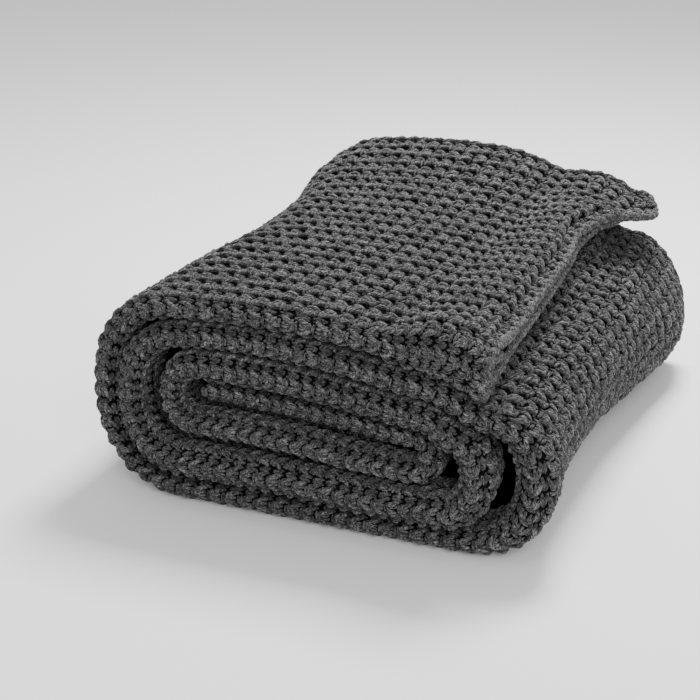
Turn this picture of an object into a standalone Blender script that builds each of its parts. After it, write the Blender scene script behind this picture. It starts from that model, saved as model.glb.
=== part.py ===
"""A chunky knitted cotton throw, folded in four along its length and rolled up into a loose, flattened roll.

The roll lies on the ground with its axis along Y and its coiled end, where the folds show, facing -Y.
X runs across the roll and Z is up. Metres throughout.

The cloth pack has two leaves, each of them two cloths thick and joined by the fold at the front, and it is
wound as an oval spiral from the core outwards. Runs are the level stretches of the spiral and turns join
them at its sides.
"""

from typing import NamedTuple

import bpy
import numpy as np
from mathutils import Vector

# ---- driving sizes ----------------------------------------------------------------------------------
MM = 0.001
ROLL_DEPTH = 332 * MM  # width of the folded cloth, which is the length of the roll
PACK_THICK = 14.4 * MM  # both leaves of the folded cloth, pressed together
SLIT = 1.2 * MM  # between the two leaves
CLEARANCE = 0.7 * MM  # between one turn of the roll and the next
LEAF_THICK = (PACK_THICK - SLIT) / 2
MARK = 80 * MM  # the runs' heights are given at -MARK, 0 and +MARK
CORE_START = -69 * MM  # where the inner end of the cloth lies
FLAP_END = 100 * MM  # where the outer end of the cloth lies, at the front
PUFF_DEEP = 26 * MM  # how far back from the fold its looser, fuller part reaches
HEM_ROUND = 0.32  # how far a hem's middle stands out, in leaf thicknesses
FLAP_EASE = 75 * MM  # the last stretch of the flap, which its end's shape bends
PRESSED = 0.9 * MM  # what is lower than this lies flat on the ground
RUN_STEP = 30 * MM
TURN_STEP_DEG = 30
CHARCOAL = (0.072, 0.072, 0.073, 1.0)


class Run(NamedTuple):
    """A level stretch of the spiral: the height of its middle at the three marks, in millimetres."""

    name: str
    left: float
    middle: float
    right: float
    forward: float  # how far its fold stands in front of the others
    puff: float  # how much fuller its fold is than the pack is thick, on each side


class Turn(NamedTuple):
    """A side of the spiral, between two runs: its outermost point, half-width and puff, in millimetres."""

    name: str
    reach: float
    height: float
    half_width: float
    fullness: float  # exponent of its oval: 2 is an ellipse, more is squarer
    forward: float
    puff: float


class Station(NamedTuple):
    """How the roll's section changes along its depth, in millimetres but for the lift."""

    name: str
    depth: float
    shift: float  # of the whole section, along X
    pinch: float  # of its left side, inwards
    lift: float  # share by which it stands taller
    foot: float  # of the lower part of its right side, outwards
    brow: float  # of the upper part of its right side, outwards


class FlapEnd(NamedTuple):
    """The outer end of the cloth along the depth: how far it reaches and droops, in millimetres."""

    name: str
    depth: float
    reach: float
    droop: float


RUNS = (
    Run("core", 66.8, 65.0, 56.4, -5, 0.0),
    Run("second", 49.6, 48.0, 36.4, 6, 0.5),
    Run("third", 83.0, 82.5, 70.0, 3, 1.5),
    Run("fourth", 28.2, 27.6, 22.0, 12, 3.2),
    Run("fifth", 100.0, 100.4, 86.6, 2, 0.4),
    Run("base", 7.8, 7.8, 7.8, 2, 0.4),
    Run("flap", 116.5, 117.2, 108.0, 2, 0.4),
)
TURNS = (
    Turn("core_right", 70.5, 48.4, 9.6, 2.0, 3, 0.0),
    Turn("second_left", -88.0, 64.0, 18, 2.2, 2, 0.0),
    Turn("third_right", 99.5, 45.0, 26, 2.0, 8, 3.5),
    Turn("fourth_left", -113.0, 63.0, 34, 2.1, 5, 1.5),
    Turn("fifth_right", 130.5, 43.0, 38, 2.1, 0, 5.0),
    Turn("base_left", -131.5, 60.0, 50, 2.25, 0, 1.0),
)
FLAP_PUFF = 9.0  # at the flap's free corner, in millimetres
FLAP_FORWARD = 6.0  # how much further that corner stands forward, in millimetres
STATIONS = (
    Station("front", 0, 0, 0, 0.0, -3.0, 0.0),
    Station("quarter", 85, -3, 2, 0.0, -9.5, 0.0),
    Station("waist", 172, -6, 10, 0.0, -9.5, 0.0),
    Station("rise", 246, -9, 9, 0.03, 0.5, -1.0),
    Station("hump", 307, -12, 2, 0.09, 6.0, -4.0),
    Station("back", 332, -13.5, 6, 0.112, 1.0, -5.0),
)
FLAP_ENDS = (
    FlapEnd("front_corner", 0, -6, 0),
    FlapEnd("front_third", 110, -13, 0),
    FlapEnd("middle", 187, -17, 0),
    FlapEnd("tuck", 245, -19, -1),
    FlapEnd("turn_out", 268, -8, -4),
    FlapEnd("splay", 290, 11, -3),
    FlapEnd("tip", 308, 15, -1),
    FlapEnd("back_corner", 332, 6, -3),
)


# ---- curves -----------------------------------------------------------------------------------------
def smooth(x):
    """0 below 0, 1 above 1, and an even ramp without corners between."""
    x = np.clip(x, 0.0, 1.0)
    return x * x * (3 - 2 * x)


def along(rows, column, depth):
    """The value of a table's column at a depth, rounded off between its rows."""
    places = np.array([row.depth for row in rows], float) * MM
    values = np.array([getattr(row, column) for row in rows], float)
    slopes = np.gradient(values, places)
    k = np.clip(np.searchsorted(places, depth) - 1, 0, len(rows) - 2)
    wide = places[k + 1] - places[k]
    t = np.clip((depth - places[k]) / wide, 0, 1)
    return (
        (1 + 2 * t) * (1 - t) ** 2 * values[k]
        + t * (1 - t) ** 2 * wide * slopes[k]
        + t * t * (3 - 2 * t) * values[k + 1]
        + t * t * (t - 1) * wide * slopes[k + 1]
    )


def run_height(run, x):
    """Height of a run's middle at x: the parabola through its three marks."""
    bend = ((run.left + run.right) / 2 - run.middle) / (MARK / MM) ** 2
    tilt = (run.right - run.left) / (2 * MARK / MM)
    return (run.middle + tilt * (x / MM) + bend * (x / MM) ** 2) * MM


def turn_side(turn):
    return 1.0 if turn.reach > 0 else -1.0


def turn_middle(turn):
    """The x at which a turn starts and ends."""
    return (turn.reach - turn_side(turn) * turn.half_width) * MM


def quarter(turn, run, outwards):
    """The quarter oval between a run and a turn's outermost point, as (x, z, forward, puff) rows."""
    steps = 24
    angles = np.linspace(0, np.pi / 2, steps + 1)
    if not outwards:
        angles = angles[::-1]
    power = 2 / turn.fullness
    x = turn_middle(turn) + turn_side(turn) * turn.half_width * MM * np.sin(angles) ** power
    start = run_height(run, turn_middle(turn))
    z = turn.height * MM + (start - turn.height * MM) * np.cos(angles) ** power
    share = smooth(angles / (np.pi / 2))
    forward = (run.forward + (turn.forward - run.forward) * share) * MM
    puff = (run.puff + (turn.puff - run.puff) * share) * MM
    return np.stack([x, z, forward, puff], 1)


def spiral():
    """The middle of the cloth pack from the core outwards, as close (x, z, forward, puff) rows."""
    pieces = []
    x = CORE_START
    for i, run in enumerate(RUNS):
        end = turn_middle(TURNS[i]) if i < len(TURNS) else FLAP_END
        xs = np.linspace(x, end, max(3, int(abs(end - x) / (2 * MM))))
        free = smooth((xs - 30 * MM) / (55 * MM)) * (run is RUNS[-1])
        forward = (run.forward + FLAP_FORWARD * free) * MM
        puff = (run.puff + FLAP_PUFF * free) * MM
        pieces.append(np.stack([xs, run_height(run, xs), forward, puff], 1))
        if i < len(TURNS):
            pieces.append(quarter(TURNS[i], run, True)[1:])
            pieces.append(quarter(TURNS[i], RUNS[i + 1], False)[1:])
            x = turn_middle(TURNS[i])
    rows = np.concatenate(pieces)
    keep = np.append(True, np.linalg.norm(np.diff(rows[:, :2], axis=0), axis=1) > 1e-7)
    return settled(evened(rows[keep]))


def settled(rows, rounds=60):
    """The path with its turns pressed apart wherever the pack's thickness would make them meet."""
    place, puff = rows[::2, :2].copy(), rows[::2, 3]
    length = np.append(0, np.cumsum(np.linalg.norm(np.diff(place, axis=0), axis=1)))
    need = PACK_THICK + CLEARANCE + puff[:, None] + puff[None, :]
    own = np.abs(length[:, None] - length[None, :]) < 1.8 * PACK_THICK
    for _ in range(rounds):
        apart = place[:, None] - place[None, :]
        far = np.linalg.norm(apart, axis=2)
        short = np.where(own, 0, need - far)
        other = short.argmax(1)
        me = np.arange(len(place))
        push = np.maximum(short[me, other], 0) / np.maximum(far[me, other], MM) * 0.5
        move = apart[me, other] * push[:, None]
        for _ in range(3):
            move[1:-1] = 0.25 * move[:-2] + 0.5 * move[1:-1] + 0.25 * move[2:]
        place += move
        place[:, 1] = np.maximum(place[:, 1], PACK_THICK / 2 + puff)
    full = np.linspace(0, 1, len(rows))
    half = np.linspace(0, 1, len(rows))[::2]
    rows = rows.copy()
    for k in range(2):
        rows[:, k] += np.interp(full, half, place[:, k] - rows[::2, k])
    return evened(rows, rounds=3)


def evened(rows, step=1 * MM, rounds=10):
    """The same path in even steps, with the small corners where runs meet turns rounded off."""
    length = np.append(0, np.cumsum(np.linalg.norm(np.diff(rows[:, :2], axis=0), axis=1)))
    count = int(length[-1] / step) + 1
    even = np.linspace(0, length[-1], count)
    rows = np.stack([np.interp(even, length, rows[:, k]) for k in range(rows.shape[1])], 1)
    for _ in range(rounds):
        rows[1:-1] = 0.25 * rows[:-2] + 0.5 * rows[1:-1] + 0.25 * rows[2:]
    return rows


def chosen(rows):
    """Indices of the path's rows that the solid keeps: close together where it bends, wide where it is flat."""
    step = np.diff(rows[:, :2], axis=0)
    heading = np.unwrap(np.arctan2(step[:, 1], step[:, 0]))
    bend = np.append(0, np.cumsum(np.abs(np.diff(heading))))
    pace = bend / np.radians(TURN_STEP_DEG) + np.arange(len(bend)) * (1 * MM / RUN_STEP)
    whole = int(np.ceil(pace[-1]))
    picks = np.searchsorted(pace, np.linspace(0, pace[-1], whole + 1))
    return np.unique(np.clip(picks, 0, len(rows) - 1))


# ---- the folded pack's own section, across the cloth -------------------------------------------------
DEPTHS = np.array([332, 308, 290, 268, 245, 187, 100, 24]) * MM  # from the back edges to the fold
FOLD_ANGLES = np.radians(np.linspace(90, -90, 8))[1:-1]


def pack_section(forward, puff):
    """The middle line of the leaves in one place of the spiral, from the outer leaf's back edge round the
    fold to the inner leaf's, as (depth, offset) rows, and the direction out of the fold at each."""
    half = (PACK_THICK - LEAF_THICK) / 2
    fold = half + puff
    front = -forward + LEAF_THICK / 2 + fold
    back = ROLL_DEPTH - LEAF_THICK * HEM_ROUND
    depth = front + DEPTHS * (back - front) / ROLL_DEPTH
    open_up = half + puff * np.exp(-(((depth - front) / PUFF_DEEP) ** 2))
    outer = np.stack([depth, open_up], 1)
    bend = np.stack([front - fold * np.cos(FOLD_ANGLES), fold * np.sin(FOLD_ANGLES)], 1)
    inner = np.stack([depth, -open_up], 1)[::-1]
    line = np.concatenate([outer, bend, inner])
    away = np.zeros_like(line)
    away[: len(outer), 1] = 1
    away[-len(inner) :, 1] = -1
    away[len(outer) : -len(inner), 0] = -np.cos(FOLD_ANGLES)
    away[len(outer) : -len(inner), 1] = np.sin(FOLD_ANGLES)
    return line, away


def warped(points):
    """The roll's change of section along its depth: a drift, a waist on the left, a hump at the back and a
    right side whose foot goes in and out."""
    x, y, z = points[..., 0], points[..., 1], points[..., 2]
    depth = np.clip(y, 0, ROLL_DEPTH)
    left = smooth((-x - 5 * MM) / (110 * MM))
    right = smooth((x - 20 * MM) / (95 * MM))
    under_flap = smooth((x - 10 * MM) / (60 * MM))
    high = smooth((z - 22 * MM) / (60 * MM))
    moved = x + along(STATIONS, "shift", depth) * MM + along(STATIONS, "pinch", depth) * MM * left
    moved += (along(STATIONS, "foot", depth) * (1 - high) + along(STATIONS, "brow", depth) * high) * MM * right
    taller = z * (1 + along(STATIONS, "lift", depth) * (1 - 0.7 * under_flap - 0.2 * left))
    return np.stack([moved, y, taller], -1)


def throw_points():
    """Grids of the leaf's outer and inner faces, each (stations, across, 3)."""
    rows = spiral()
    tangent = np.gradient(rows[:, :2], axis=0)
    tangent /= np.linalg.norm(tangent, axis=1)[:, None]
    normal = np.stack([-tangent[:, 1], tangent[:, 0]], 1)
    length = np.append(0, np.cumsum(np.linalg.norm(np.diff(rows[:, :2], axis=0), axis=1)))
    outer, inner, ends = [], [], []
    for k in chosen(rows):
        line, away = pack_section(rows[k, 2], rows[k, 3])
        near_end = smooth(1 - (length[-1] - length[k]) / FLAP_EASE)
        depth = np.clip(line[:, 0], 0, ROLL_DEPTH)
        reach = along(FLAP_ENDS, "reach", depth) * MM * near_end
        droop = along(FLAP_ENDS, "droop", depth) * MM * near_end**2
        for faces, side in ((outer, LEAF_THICK / 2), (inner, -LEAF_THICK / 2)):
            flat = line + away * side
            place = rows[k, :2] + flat[:, 1:] * normal[k] + reach[:, None] * tangent[k]
            faces.append(warped(np.stack([place[:, 0], flat[:, 0], place[:, 1] - droop], 1)))
        ends.append(tangent[k])
    return np.array(outer), np.array(inner), ends, length[-1]


def rim(outer, inner, out):
    """A hem's middle line: between both faces and a little beyond them."""
    return (outer + inner) / 2 + np.asarray(out) * LEAF_THICK * HEM_ROUND


def build_throw():
    """One closed mesh of the wound pack."""
    outer, inner, ends, length = throw_points()
    stations, across = outer.shape[:2]
    points, faces = [], []

    def add(grid):
        start = len(points)
        points.extend(map(Vector, grid.reshape(-1, 3)))
        return start + np.arange(len(grid.reshape(-1, 3))).reshape(grid.shape[:-1])

    out_ids, in_ids = add(outer), add(inner)
    back = (0, 1, 0)
    start_rim = add(rim(outer[0], inner[0], (-ends[0][0], 0, -ends[0][1])))
    end_rim = add(rim(outer[-1], inner[-1], (ends[-1][0], 0, ends[-1][1])))
    first_rim = add(rim(outer[1:-1, 0], inner[1:-1, 0], back))
    last_rim = add(rim(outer[1:-1, -1], inner[1:-1, -1], back))
    first_rim = np.concatenate([start_rim[:1], first_rim, end_rim[:1]])
    last_rim = np.concatenate([start_rim[-1:], last_rim, end_rim[-1:]])

    def bridge(a, b):
        for i in range(len(a) - 1):
            faces.append((a[i], a[i + 1], b[i + 1], b[i]))

    for i in range(stations - 1):
        bridge(out_ids[i], out_ids[i + 1])
        bridge(in_ids[i + 1], in_ids[i])
    for side, low, high in ((out_ids, 0, 1), (in_ids, 1, 0)):
        for line, edge, turned in (
            (side[0], start_rim, True),
            (side[-1], end_rim, False),
            (side[:, 0], first_rim, False),
            (side[:, -1], last_rim, True),
        ):
            a, b = (edge, line) if turned == (low == 0) else (line, edge)
            bridge(a, b)
    mesh = bpy.data.meshes.new("throw")
    mesh.from_pydata([tuple(p) for p in points], [], [tuple(int(v) for v in f) for f in faces])
    mesh.validate()
    mesh.update()
    return mesh, length


def main():
    for thing in list(bpy.data.objects):
        bpy.data.objects.remove(thing)
    mesh, length = build_throw()
    co = np.empty(len(mesh.vertices) * 3)
    mesh.vertices.foreach_get("co", co)
    co = co.reshape(-1, 3)
    middle = (co.min(0) + co.max(0)) / 2
    co -= (middle[0], middle[1], co[:, 2].min())
    co[co[:, 2] < PRESSED, 2] = 0.0
    mesh.vertices.foreach_set("co", co.ravel())
    material = bpy.data.materials.new("cotton_knit")
    material.use_nodes = True
    look = material.node_tree.nodes["Principled BSDF"].inputs
    look["Base Color"].default_value = CHARCOAL
    look["Roughness"].default_value = 0.95
    look["Metallic"].default_value = 0.0
    mesh.materials.append(material)
    mesh.shade_smooth()
    throw = bpy.data.objects.new("throw", mesh)
    bpy.context.scene.collection.objects.link(throw)
    print(f"cloth length {length:.3f} m, size {np.round(co.max(0) - co.min(0), 4)}, middle {middle}")


main()
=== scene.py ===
"""A chunky knitted cotton throw, folded in four along its length and rolled into a flattened roll.

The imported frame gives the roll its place, and the tables below repeat the part's own sizes. Over it this
script lays the real cloth: one thin ground sheet whose four layers are wound up together, and the star
stitches on the faces, folds and hems that show, with each strand of yarn a solid of its own. Most turns
cover each other, and there only the columns by the front fold are worked. The roll lies along Y, its
coiled end faces -Y and Z is up. Metres throughout, but for the tables and fields that say millimetres.
"""

from __future__ import annotations

import logging
from dataclasses import dataclass, field
from enum import Enum
from typing import NamedTuple, Protocol

import bpy
import numpy as np
from mathutils import Euler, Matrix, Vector

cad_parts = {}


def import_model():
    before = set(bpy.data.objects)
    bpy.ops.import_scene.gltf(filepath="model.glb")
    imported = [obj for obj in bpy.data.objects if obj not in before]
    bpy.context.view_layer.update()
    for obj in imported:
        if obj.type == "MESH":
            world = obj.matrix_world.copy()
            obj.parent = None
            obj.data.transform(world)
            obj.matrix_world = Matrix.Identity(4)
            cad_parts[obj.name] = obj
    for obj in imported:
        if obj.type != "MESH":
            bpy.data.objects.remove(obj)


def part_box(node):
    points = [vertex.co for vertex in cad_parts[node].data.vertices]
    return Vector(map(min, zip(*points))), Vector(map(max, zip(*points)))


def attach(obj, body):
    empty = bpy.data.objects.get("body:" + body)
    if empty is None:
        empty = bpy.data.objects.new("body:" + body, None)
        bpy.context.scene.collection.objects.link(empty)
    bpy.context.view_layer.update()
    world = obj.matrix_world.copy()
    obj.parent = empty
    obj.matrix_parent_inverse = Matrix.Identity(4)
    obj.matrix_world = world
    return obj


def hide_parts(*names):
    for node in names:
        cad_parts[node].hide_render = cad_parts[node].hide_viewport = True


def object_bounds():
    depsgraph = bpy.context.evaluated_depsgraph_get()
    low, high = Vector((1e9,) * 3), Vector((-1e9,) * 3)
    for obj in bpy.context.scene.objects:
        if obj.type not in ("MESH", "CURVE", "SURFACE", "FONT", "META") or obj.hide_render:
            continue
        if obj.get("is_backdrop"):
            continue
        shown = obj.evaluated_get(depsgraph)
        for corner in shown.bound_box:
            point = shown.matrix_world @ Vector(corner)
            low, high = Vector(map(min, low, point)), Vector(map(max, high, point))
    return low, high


LOG = logging.getLogger("throw")
MM = 0.001

# ---- the roll's sizes ---------------------------------------------------------------------------------
ROLL_DEPTH = 332 * MM  # width of the folded cloth, which is the length of the roll
PACK_THICK = 14.4 * MM  # both leaves of the folded cloth, pressed together
SLIT = 1.2 * MM  # between the two leaves
CLEARANCE = 0.7 * MM  # between one turn of the roll and the next
LEAF_THICK = (PACK_THICK - SLIT) / 2  # one leaf, which is two layers of cloth
LEAF_MIDDLE = (PACK_THICK - LEAF_THICK) / 2  # from the middle of the pack to the middle of a leaf
MARK = 80 * MM  # the runs' heights are given at -MARK, 0 and +MARK
CORE_START = -69 * MM  # where the inner end of the cloth lies
FLAP_END = 100 * MM  # where the outer end of the cloth lies, at the front
PUFF_DEEP = 26 * MM  # how far back from the fold its looser, fuller part reaches
HEM_ROUND = 0.32  # how far a hem's middle stands out, in leaf thicknesses
BACK_START = ROLL_DEPTH - LEAF_THICK * HEM_ROUND  # depth at which the hems and the back fold start to round
FLAP_EASE = 75 * MM  # the last stretch of the flap, which its end's shape bends
FLAP_PUFF = 9.0 * MM  # at the flap's free corner
FLAP_FORWARD = 6.0 * MM  # how much further that corner stands forward
LAYER_THICK = 1.2 * MM  # the ground sheet, beneath the stitches
LIFT_KEPT_OFF_FLAP = 0.7  # share of the hump's lift that the flap's side doesn't take
LIFT_KEPT_OFF_LEFT = 0.2  # and the left side


class Run(NamedTuple):
    """A level stretch of the spiral: the height of its middle at the three marks, in millimetres."""

    name: str
    left: float
    middle: float
    right: float
    forward: float  # how far its fold stands in front of the others
    puff: float  # how much fuller its fold is than the pack is thick, on each side


class Turn(NamedTuple):
    """A side of the spiral between two runs: its outermost point, half-width and puff, in millimetres."""

    name: str
    reach: float
    height: float
    half_width: float
    fullness: float  # exponent of its oval: 2 is an ellipse, more is squarer
    forward: float
    puff: float


class Station(NamedTuple):
    """How the roll's section changes along its depth, in millimetres but for the lift."""

    name: str
    depth: float
    shift: float  # of the whole section, along X
    pinch: float  # of its left side, inwards
    lift: float  # share by which it stands taller
    foot: float  # of the lower part of its right side, outwards
    brow: float  # of the upper part of its right side, outwards


class FlapEnd(NamedTuple):
    """The outer end of the cloth along the depth: how far it reaches and droops, in millimetres."""

    name: str
    depth: float
    reach: float
    droop: float
    under: float  # how much further its lower leaf reaches


class Gauge(NamedTuple):
    """How long one stitch is, in millimetres, at a share of the cloth's length from the core."""

    name: str
    share: float
    pitch: float


class Strand(NamedTuple):
    """One strand of a stitch.

    Along is in stitch lengths and across in millimetres, both from the stitch's own middle.
    """

    name: str
    along_start: float
    across_start: float
    along_end: float
    across_end: float
    bulge: float  # how far its middle is pushed back along the stitch, in stitch lengths
    radius: float  # in millimetres
    sink: float  # how far its crest lies beneath the cloth's face, in millimetres
    dip: float  # how far its ends go down beneath its crest, in millimetres


RUNS: tuple[Run, ...] = (
    Run("core", 66.8, 65.0, 56.4, -5, 0.0),
    Run("second", 49.6, 48.0, 36.4, 6, 0.5),
    Run("third", 83.0, 82.5, 70.0, 3, 1.5),
    Run("fourth", 28.2, 27.6, 22.0, 12, 3.2),
    Run("fifth", 100.0, 100.4, 86.6, 2, 0.4),
    Run("base", 7.8, 7.8, 7.8, 2, 0.4),
    Run("flap", 116.5, 117.2, 108.0, 2, 0.4),
)
TURNS: tuple[Turn, ...] = (
    Turn("core_right", 70.5, 48.4, 9.6, 2.0, 3, 0.0),
    Turn("second_left", -88.0, 64.0, 18, 2.2, 2, 0.0),
    Turn("third_right", 99.5, 45.0, 26, 2.0, 8, 3.5),
    Turn("fourth_left", -113.0, 63.0, 34, 2.1, 5, 1.5),
    Turn("fifth_right", 130.5, 43.0, 38, 2.1, 0, 5.0),
    Turn("base_left", -131.5, 60.0, 50, 2.25, 0, 1.0),
)
STATIONS: tuple[Station, ...] = (
    Station("front", 0, 0, 0, 0.0, -3.0, 0.0),
    Station("quarter", 85, -3, 2, 0.0, -9.5, 0.0),
    Station("waist", 172, -6, 10, 0.0, -9.5, 0.0),
    Station("rise", 246, -9, 9, 0.03, 0.5, -1.0),
    Station("hump", 307, -12, 2, 0.09, 6.0, -4.0),
    Station("back", 332, -13.5, 6, 0.112, 1.0, -5.0),
)
FLAP_ENDS: tuple[FlapEnd, ...] = (
    FlapEnd("front_corner", 0, -6, 0, 1.0),
    FlapEnd("front_third", 110, -13, 0, 1.5),
    FlapEnd("middle", 187, -17, 0, 1.0),
    FlapEnd("tuck", 245, -19, -1, 0.0),
    FlapEnd("turn_out", 268, -8, -4, -6.0),
    FlapEnd("splay", 290, 11, -3, -18.0),
    FlapEnd("tip", 308, 15, -1, -20.0),
    FlapEnd("back_corner", 332, 6, -3, -14.0),
)
GAUGES: tuple[Gauge, ...] = (
    Gauge("core", 0.0, 8.0),
    Gauge("fourth", 0.52, 8.0),
    Gauge("fifth", 0.66, 9.4),
    Gauge("base", 0.78, 9.8),
    Gauge("flap", 0.88, 10.2),
    Gauge("flap_middle", 0.95, 10.0),
    Gauge("flap_end", 1.0, 8.0),
)

# One star: two plump slanting arms that meet at its point, and the strands between and behind them.
COLUMN = 15.3  # from one column of stars to the next, in millimetres
ARMS: tuple[Strand, ...] = (
    Strand("near_arm", -0.26, -5.4, 0.60, -1.3, 0.0, 1.50, -0.6, 1.3),
    Strand("far_arm", -0.20, 5.4, 0.64, 1.2, 0.0, 1.45, -0.6, 1.3),
)
FILLING: tuple[Strand, ...] = (
    Strand("near_upright", -0.16, -1.5, 0.40, -0.9, 0.0, 1.05, 0.0, 1.0),
    Strand("far_upright", -0.12, 1.7, 0.40, 0.9, 0.0, 1.05, 0.0, 1.0),
    Strand("bar", -0.28, -3.4, -0.22, 3.8, 0.06, 1.15, 0.5, 0.6),
    Strand("arch", -0.46, -4.6, -0.48, 4.6, 0.08, 1.20, 0.3, 1.3),
)
STAR: tuple[Strand, ...] = ARMS + FILLING
# The chain between two columns of stars, half a column away from the star's middle.
CHAIN: tuple[Strand, ...] = (
    Strand("near_link", -0.50, -2.1, 0.44, -0.5, 0.0, 1.30, 1.3, 0.7),
    Strand("far_link", -0.50, 2.1, 0.44, 0.5, 0.0, 1.30, 1.3, 0.7),
)
END_HEM_ROWS = (-1.6, 1.8, 5.2, 8.6)  # places of the ropes round the cloth's end, in millimetres
# A rope of slanting links round a cut edge: across is round the edge, from its outer side.
EDGE_ROPE: tuple[Strand, ...] = (
    Strand("outer_link", -0.50, 0.9, 0.45, 3.0, 0.0, 1.60, -0.5, 0.9),
    Strand("inner_link", -0.50, 4.7, 0.45, 2.6, 0.0, 1.60, -0.5, 0.9),
)


# ---- small curves ---------------------------------------------------------------------------------------
def smooth(x: np.ndarray) -> np.ndarray:
    """Ramps evenly from 0 to 1.

    Args:
        x: values, of which only the stretch from 0 to 1 changes the result.

    Returns:
        0 below 0, 1 above 1, and an even ramp without corners between.
    """
    x = np.clip(x, 0.0, 1.0)
    return x * x * (3 - 2 * x)


def ramp(x: np.ndarray, start: float, wide: float) -> np.ndarray:
    """Ramps from 0 at start to 1 at start + wide, which are both in millimetres."""
    return smooth((x - start * MM) / (wide * MM))


def steps(points: np.ndarray) -> np.ndarray:
    """The lengths between neighbouring rows of points."""
    return np.linalg.norm(np.diff(points, axis=0), axis=1)


def eased(rows: np.ndarray) -> np.ndarray:
    """The inner rows, each evened out a little with its neighbours."""
    return 0.25 * rows[:-2] + 0.5 * rows[1:-1] + 0.25 * rows[2:]


def along(rows: tuple[NamedTuple, ...], column: str, depth: np.ndarray) -> np.ndarray:
    """Reads a table of the roll's depth, rounded off between its rows.

    Args:
        rows: the table, whose rows have a depth in millimetres.
        column: the column to read.
        depth: how far back from the front, in metres.

    Returns:
        The column's value at each depth.
    """
    places = np.array([row.depth for row in rows], float) * MM
    values = np.array([getattr(row, column) for row in rows], float)
    slopes = np.gradient(values, places)
    k = np.clip(np.searchsorted(places, depth) - 1, 0, len(rows) - 2)
    wide = places[k + 1] - places[k]
    t = np.clip((depth - places[k]) / wide, 0, 1)
    return (
        (1 + 2 * t) * (1 - t) ** 2 * values[k]
        + t * (1 - t) ** 2 * wide * slopes[k]
        + t * t * (3 - 2 * t) * values[k + 1]
        + t * t * (t - 1) * wide * slopes[k + 1]
    )


# ---- the form of the roll -------------------------------------------------------------------------------
class PathPoint(NamedTuple):
    """Where the pack's middle is, which way it runs, and how its fold stands there."""

    place: np.ndarray
    tangent: np.ndarray
    normal: np.ndarray
    forward: np.ndarray
    puff: np.ndarray


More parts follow.
